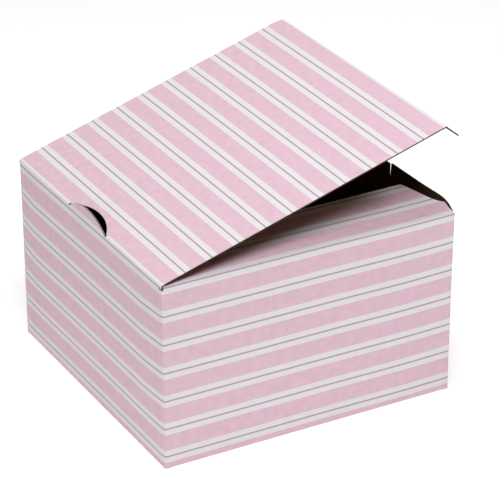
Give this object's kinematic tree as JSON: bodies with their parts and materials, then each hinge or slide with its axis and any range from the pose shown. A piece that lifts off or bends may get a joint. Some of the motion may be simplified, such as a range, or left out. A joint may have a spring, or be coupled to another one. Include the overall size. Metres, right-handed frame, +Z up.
{
  "type": "hat box",
  "caption": "Square tuck-top carton of thin corrugated board with striped print, raised lid, tuck flap, dust flaps and a thumb tab at the hinge fold.",
  "frame": {"origin": "centre of the carton's footprint, on the outside of its bottom", "axes": "+Z up, +X from the lid's hinge wall to the wall that takes the tuck flap, +Y from the front wall to the back wall"},
  "size_m": [0.2468, 0.2284, 0.2096],
  "materials": {
    "printed_board": "matt pink and white striped print on coated liner",
    "kraft_side": "plain brown kraft liner",
    "glue": "dried paper glue film"
  },
  "bodies": {
    "carton": {"wall_left": "printed_board", "wall_front": "printed_board", "wall_right": "kraft_side", "wall_back": "printed_board", "thumb_tab": "printed_board", "centre_tongue": "kraft_side", "corner_front_left": "printed_board", "corner_front_right": "printed_board", "corner_back_right": "printed_board", "corner_back_left": "printed_board", "glue_flap": "kraft_side", "glue_line": "glue", "bottom_flap_front": "printed_board", "bottom_flap_back": "printed_board", "bottom_flap_left": "kraft_side", "bottom_flap_right": "kraft_side", "bottom_glue_left": "glue", "bottom_glue_right": "glue"},
    "lid_fold": {"lid_crease": "printed_board"},
    "lid": {"lid_panel": "printed_board"},
    "tuck_fold": {"tuck_crease": "printed_board"},
    "tuck": {"tuck_flap": "printed_board"},
    "dust_fold_front": {"dust_crease_front": "printed_board"},
    "dust_front": {"dust_flap_front": "printed_board"},
    "dust_fold_back": {"dust_crease_back": "printed_board"},
    "dust_back": {"dust_flap_back": "printed_board"}
  },
  "joints": [
    {"name": "lid_close", "type": "hinge", "parent": "carton", "child": "lid_fold", "pos_m": [-0.11475, 0, 0.1423], "axis": [0, -1, 0], "range_deg": [-16.9, 0]},
    {"name": "lid_open", "type": "hinge", "parent": "lid_fold", "child": "lid", "pos_m": [-0.11475, 0, 0.1423], "axis": [0, -1, 0], "range_deg": [0, 163.1]},
    {"name": "tuck_turn_in", "type": "hinge", "parent": "lid", "child": "tuck_fold", "pos_m": [0.10522, 0, 0.20913], "axis": [0, 1, 0], "range_deg": [0, 71]},
    {"name": "tuck_flex", "type": "hinge", "parent": "tuck_fold", "child": "tuck", "pos_m": [0.10522, 0, 0.20913], "axis": [0, 1, 0], "range_deg": [-30, 10]},
    {"name": "dust_settle_front", "type": "hinge", "parent": "carton", "child": "dust_fold_front", "pos_m": [0, -0.11375, 0.141], "axis": [1, 0, 0], "range_deg": [-9.2, 0]},
    {"name": "dust_lift_front", "type": "hinge", "parent": "dust_fold_front", "child": "dust_front", "pos_m": [0, -0.11375, 0.141], "axis": [1, 0, 0], "range_deg": [0, 82]},
    {"name": "dust_settle_back", "type": "hinge", "parent": "carton", "child": "dust_fold_back", "pos_m": [0, 0.11375, 0.141], "axis": [-1, 0, 0], "range_deg": [-9.2, 0]},
    {"name": "dust_lift_back", "type": "hinge", "parent": "dust_fold_back", "child": "dust_back", "pos_m": [0, 0.11375, 0.141], "axis": [-1, 0, 0], "range_deg": [0, 82]}
  ],
  "couplings": [
    {"joint": "tuck_turn_in", "follows": "lid_close", "ratio": -4.2},
    {"joint": "dust_settle_front", "follows": "lid_close", "ratio": 0.53254},
    {"joint": "dust_settle_back", "follows": "lid_close", "ratio": 0.53254},
    {"joint": "dust_lift_front", "follows": "lid_open", "ratio": 0.49663},
    {"joint": "dust_lift_back", "follows": "lid_open", "ratio": 0.49663}
  ]
}
